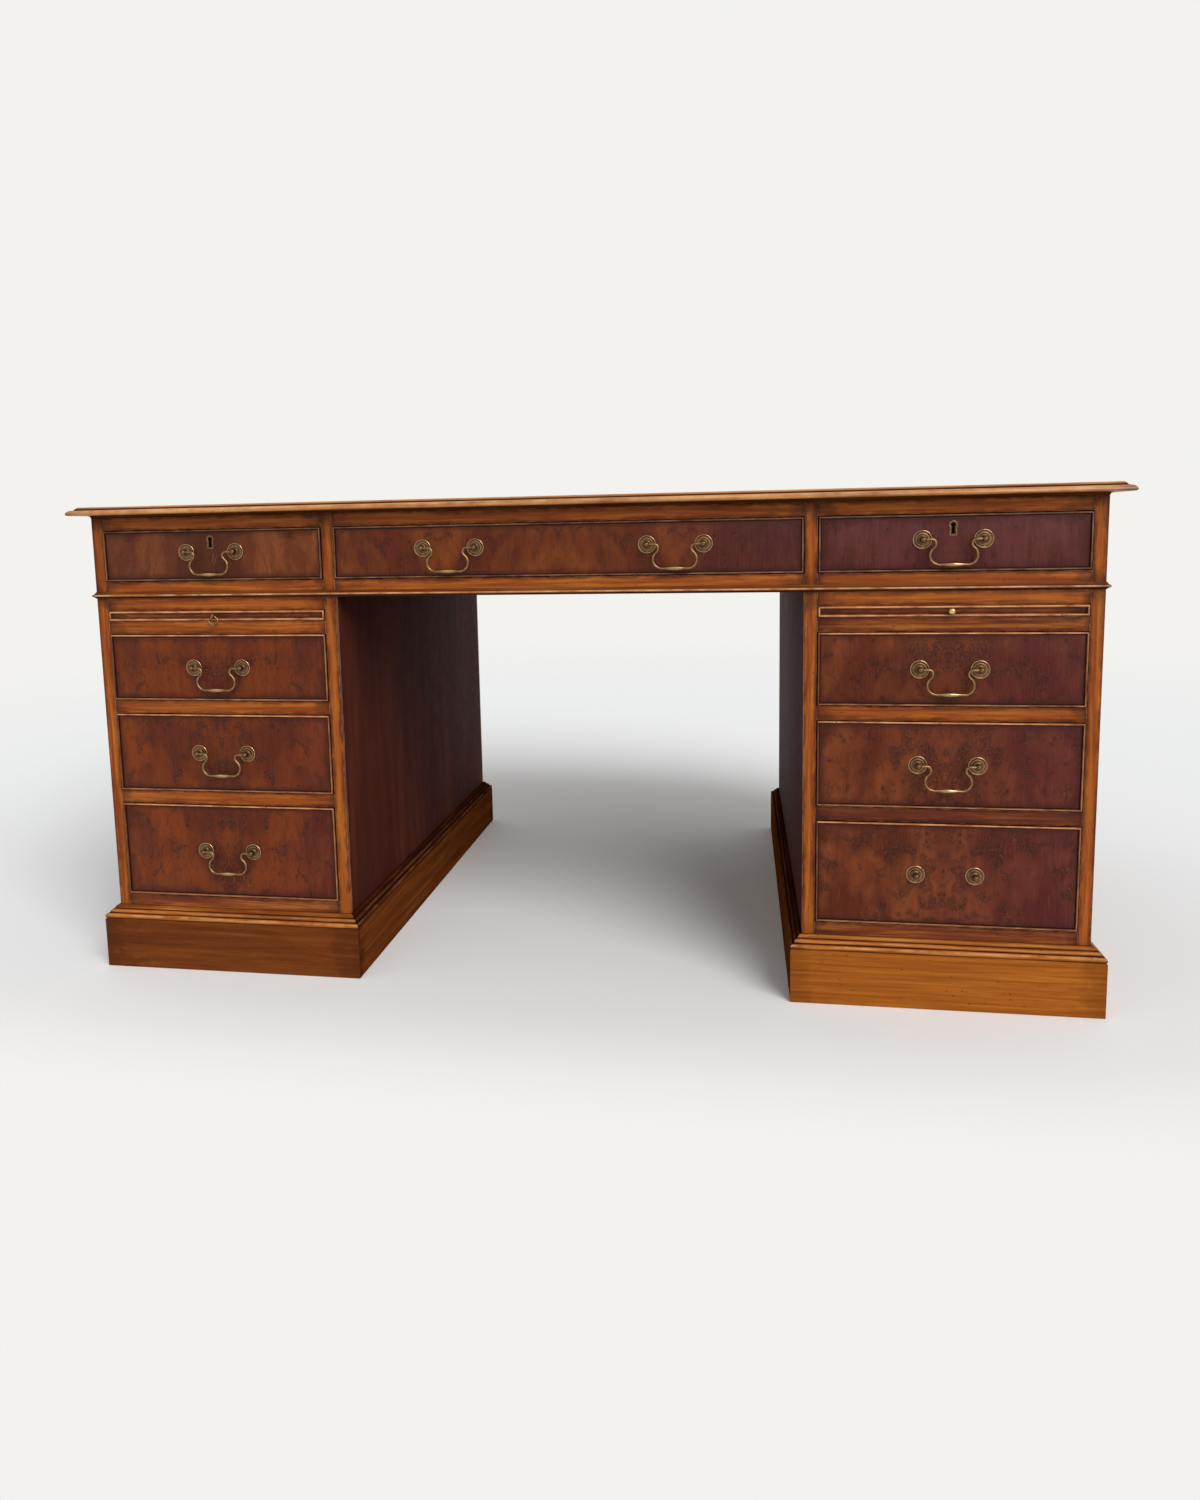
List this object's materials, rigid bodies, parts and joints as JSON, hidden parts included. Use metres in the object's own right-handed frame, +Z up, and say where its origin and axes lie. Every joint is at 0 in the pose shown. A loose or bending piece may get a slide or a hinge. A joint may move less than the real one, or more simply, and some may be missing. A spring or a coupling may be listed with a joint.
{
  "type": "partners desk",
  "caption": "Kneehole desk in sections: frieze drawers under a leather-lined moulded top, on pedestals with graduated drawers, pull-out slides and rear cupboards.",
  "frame": {"origin": "on the floor, under the middle of the top", "axes": "+X to the right of someone facing the drawers, +Y from the drawer side to the cupboard side, +Z up"},
  "size_m": [1.604, 0.9, 0.773],
  "materials": {
    "yew_frame": "satin polished yew with planed grain, worn pale on its edges",
    "yew_moulding": "satin polished yew moulding with darkened quirks",
    "yew_veneer": "satin book-matched burr yew veneer with paler beads",
    "lining_wood": "planed pale lining wood, waxed",
    "leather": "fine-grained dark green hide with gilt line tooling",
    "antique_brass": "antique brass, darkened in the recesses"
  },
  "bodies": {
    "root": {"cupboard_hinge_leaves": "antique_brass", "frieze_dummy_brassware": "antique_brass", "frieze_dummy_fronts": "yew_veneer", "frieze_frame": "yew_frame", "leather_inset": "leather", "left_pedestal_carcass": "yew_frame", "left_plinth": "yew_moulding", "right_pedestal_carcass": "yew_frame", "right_plinth": "yew_moulding", "top_edge_moulding": "yew_moulding", "top_panel": "yew_frame", "waist_moulding": "yew_moulding"},
    "left_frieze_drawer": {"left_frieze_drawer_front": "yew_veneer", "left_frieze_drawer_box": "lining_wood", "left_frieze_drawer_brassware": "antique_brass"},
    "left_frieze_drawer_bail": {"left_frieze_drawer_bail": "antique_brass"},
    "middle_frieze_drawer": {"middle_frieze_drawer_front": "yew_veneer", "middle_frieze_drawer_box": "lining_wood", "middle_frieze_drawer_brassware": "antique_brass"},
    "middle_frieze_drawer_left_bail": {"middle_frieze_drawer_left_bail": "antique_brass"},
    "middle_frieze_drawer_right_bail": {"middle_frieze_drawer_right_bail": "antique_brass"},
    "right_frieze_drawer": {"right_frieze_drawer_front": "yew_veneer", "right_frieze_drawer_box": "lining_wood", "right_frieze_drawer_brassware": "antique_brass"},
    "right_frieze_drawer_bail": {"right_frieze_drawer_bail": "antique_brass"},
    "left_lower_drawer": {"left_lower_drawer_front": "yew_veneer", "left_lower_drawer_box": "lining_wood", "left_lower_drawer_brassware": "antique_brass"},
    "left_lower_drawer_bail": {"left_lower_drawer_bail": "antique_brass"},
    "left_centre_drawer": {"left_centre_drawer_front": "yew_veneer", "left_centre_drawer_box": "lining_wood", "left_centre_drawer_brassware": "antique_brass"},
    "left_centre_drawer_bail": {"left_centre_drawer_bail": "antique_brass"},
    "left_upper_drawer": {"left_upper_drawer_front": "yew_veneer", "left_upper_drawer_box": "lining_wood", "left_upper_drawer_brassware": "antique_brass"},
    "left_upper_drawer_bail": {"left_upper_drawer_bail": "antique_brass"},
    "right_lower_drawer": {"right_lower_drawer_front": "yew_veneer", "right_lower_drawer_box": "lining_wood", "right_lower_drawer_brassware": "antique_brass"},
    "right_centre_drawer": {"right_centre_drawer_front": "yew_veneer", "right_centre_drawer_box": "lining_wood", "right_centre_drawer_brassware": "antique_brass"},
    "right_centre_drawer_bail": {"right_centre_drawer_bail": "antique_brass"},
    "right_upper_drawer": {"right_upper_drawer_front": "yew_veneer", "right_upper_drawer_box": "lining_wood", "right_upper_drawer_brassware": "antique_brass"},
    "right_upper_drawer_bail": {"right_upper_drawer_bail": "antique_brass"},
    "back_left_bail": {"back_left_bail": "antique_brass"},
    "back_middle_left_bail": {"back_middle_left_bail": "antique_brass"},
    "back_middle_right_bail": {"back_middle_right_bail": "antique_brass"},
    "back_right_bail": {"back_right_bail": "antique_brass"},
    "left_brushing_slide": {"left_brushing_slide": "yew_frame", "left_slide_pull": "antique_brass"},
    "left_cupboard_door": {"left_cupboard_door": "yew_veneer", "left_cupboard_door_brassware": "antique_brass"},
    "right_brushing_slide": {"right_brushing_slide": "yew_frame", "right_slide_knob": "antique_brass"},
    "right_cupboard_door": {"right_cupboard_door": "yew_veneer", "right_cupboard_door_brassware": "antique_brass"}
  },
  "joints": [
    {"name": "left_frieze_drawer_slide", "type": "slide", "parent": "root", "child": "left_frieze_drawer", "axis": [0, -1, 0], "range_m": [0, 0.36]},
    {"name": "left_frieze_drawer_bail_swing", "type": "hinge", "parent": "left_frieze_drawer", "child": "left_frieze_drawer_bail", "pos_m": [-0.56875, -0.433, 0.698], "axis": [-1, 0, 0], "range_deg": [0, 170]},
    {"name": "middle_frieze_drawer_slide", "type": "slide", "parent": "root", "child": "middle_frieze_drawer", "axis": [0, -1, 0], "range_m": [0, 0.36]},
    {"name": "middle_frieze_drawer_left_bail_swing", "type": "hinge", "parent": "middle_frieze_drawer", "child": "middle_frieze_drawer_left_bail", "pos_m": [-0.174, -0.433, 0.698], "axis": [-1, 0, 0], "range_deg": [0, 170]},
    {"name": "middle_frieze_drawer_right_bail_swing", "type": "hinge", "parent": "middle_frieze_drawer", "child": "middle_frieze_drawer_right_bail", "pos_m": [0.174, -0.433, 0.698], "axis": [-1, 0, 0], "range_deg": [0, 170]},
    {"name": "right_frieze_drawer_slide", "type": "slide", "parent": "root", "child": "right_frieze_drawer", "axis": [0, -1, 0], "range_m": [0, 0.36]},
    {"name": "right_frieze_drawer_bail_swing", "type": "hinge", "parent": "right_frieze_drawer", "child": "right_frieze_drawer_bail", "pos_m": [0.56875, -0.433, 0.698], "axis": [-1, 0, 0], "range_deg": [0, 170]},
    {"name": "left_lower_drawer_slide", "type": "slide", "parent": "root", "child": "left_lower_drawer", "axis": [0, -1, 0], "range_m": [0, 0.32]},
    {"name": "left_lower_drawer_bail_swing", "type": "hinge", "parent": "left_lower_drawer", "child": "left_lower_drawer_bail", "pos_m": [-0.56875, -0.433, 0.20225], "axis": [-1, 0, 0], "range_deg": [0, 170]},
    {"name": "left_centre_drawer_slide", "type": "slide", "parent": "root", "child": "left_centre_drawer", "axis": [0, -1, 0], "range_m": [0, 0.32]},
    {"name": "left_centre_drawer_bail_swing", "type": "hinge", "parent": "left_centre_drawer", "child": "left_centre_drawer_bail", "pos_m": [-0.56875, -0.433, 0.3685], "axis": [-1, 0, 0], "range_deg": [0, 170]},
    {"name": "left_upper_drawer_slide", "type": "slide", "parent": "root", "child": "left_upper_drawer", "axis": [0, -1, 0], "range_m": [0, 0.32]},
    {"name": "left_upper_drawer_bail_swing", "type": "hinge", "parent": "left_upper_drawer", "child": "left_upper_drawer_bail", "pos_m": [-0.56875, -0.433, 0.5105], "axis": [-1, 0, 0], "range_deg": [0, 170]},
    {"name": "right_lower_drawer_slide", "type": "slide", "parent": "root", "child": "right_lower_drawer", "axis": [0, -1, 0], "range_m": [0, 0.32]},
    {"name": "right_centre_drawer_slide", "type": "slide", "parent": "root", "child": "right_centre_drawer", "axis": [0, -1, 0], "range_m": [0, 0.32]},
    {"name": "right_centre_drawer_bail_swing", "type": "hinge", "parent": "right_centre_drawer", "child": "right_centre_drawer_bail", "pos_m": [0.56875, -0.433, 0.3685], "axis": [-1, 0, 0], "range_deg": [0, 170]},
    {"name": "right_upper_drawer_slide", "type": "slide", "parent": "root", "child": "right_upper_drawer", "axis": [0, -1, 0], "range_m": [0, 0.32]},
    {"name": "right_upper_drawer_bail_swing", "type": "hinge", "parent": "right_upper_drawer", "child": "right_upper_drawer_bail", "pos_m": [0.56875, -0.433, 0.5105], "axis": [-1, 0, 0], "range_deg": [0, 170]},
    {"name": "back_left_bail_swing", "type": "hinge", "parent": "root", "child": "back_left_bail", "pos_m": [-0.56875, 0.433, 0.698], "axis": [1, 0, 0], "range_deg": [0, 170]},
    {"name": "back_middle_left_bail_swing", "type": "hinge", "parent": "root", "child": "back_middle_left_bail", "pos_m": [-0.174, 0.433, 0.698], "axis": [1, 0, 0], "range_deg": [0, 170]},
    {"name": "back_middle_right_bail_swing", "type": "hinge", "parent": "root", "child": "back_middle_right_bail", "pos_m": [0.174, 0.433, 0.698], "axis": [1, 0, 0], "range_deg": [0, 170]},
    {"name": "back_right_bail_swing", "type": "hinge", "parent": "root", "child": "back_right_bail", "pos_m": [0.56875, 0.433, 0.698], "axis": [1, 0, 0], "range_deg": [0, 170]},
    {"name": "left_brushing_slide_pull", "type": "slide", "parent": "root", "child": "left_brushing_slide", "axis": [0, -1, 0], "range_m": [0, 0.3]},
    {"name": "left_cupboard_door_hinge", "type": "hinge", "parent": "root", "child": "left_cupboard_door", "pos_m": [-0.7557, 0.429, 0.36325], "axis": [0, 0, 1], "range_deg": [0, 110]},
    {"name": "right_brushing_slide_pull", "type": "slide", "parent": "root", "child": "right_brushing_slide", "axis": [0, -1, 0], "range_m": [0, 0.3]},
    {"name": "right_cupboard_door_hinge", "type": "hinge", "parent": "root", "child": "right_cupboard_door", "pos_m": [0.7557, 0.429, 0.36325], "axis": [0, 0, -1], "range_deg": [0, 110]}
  ]
}
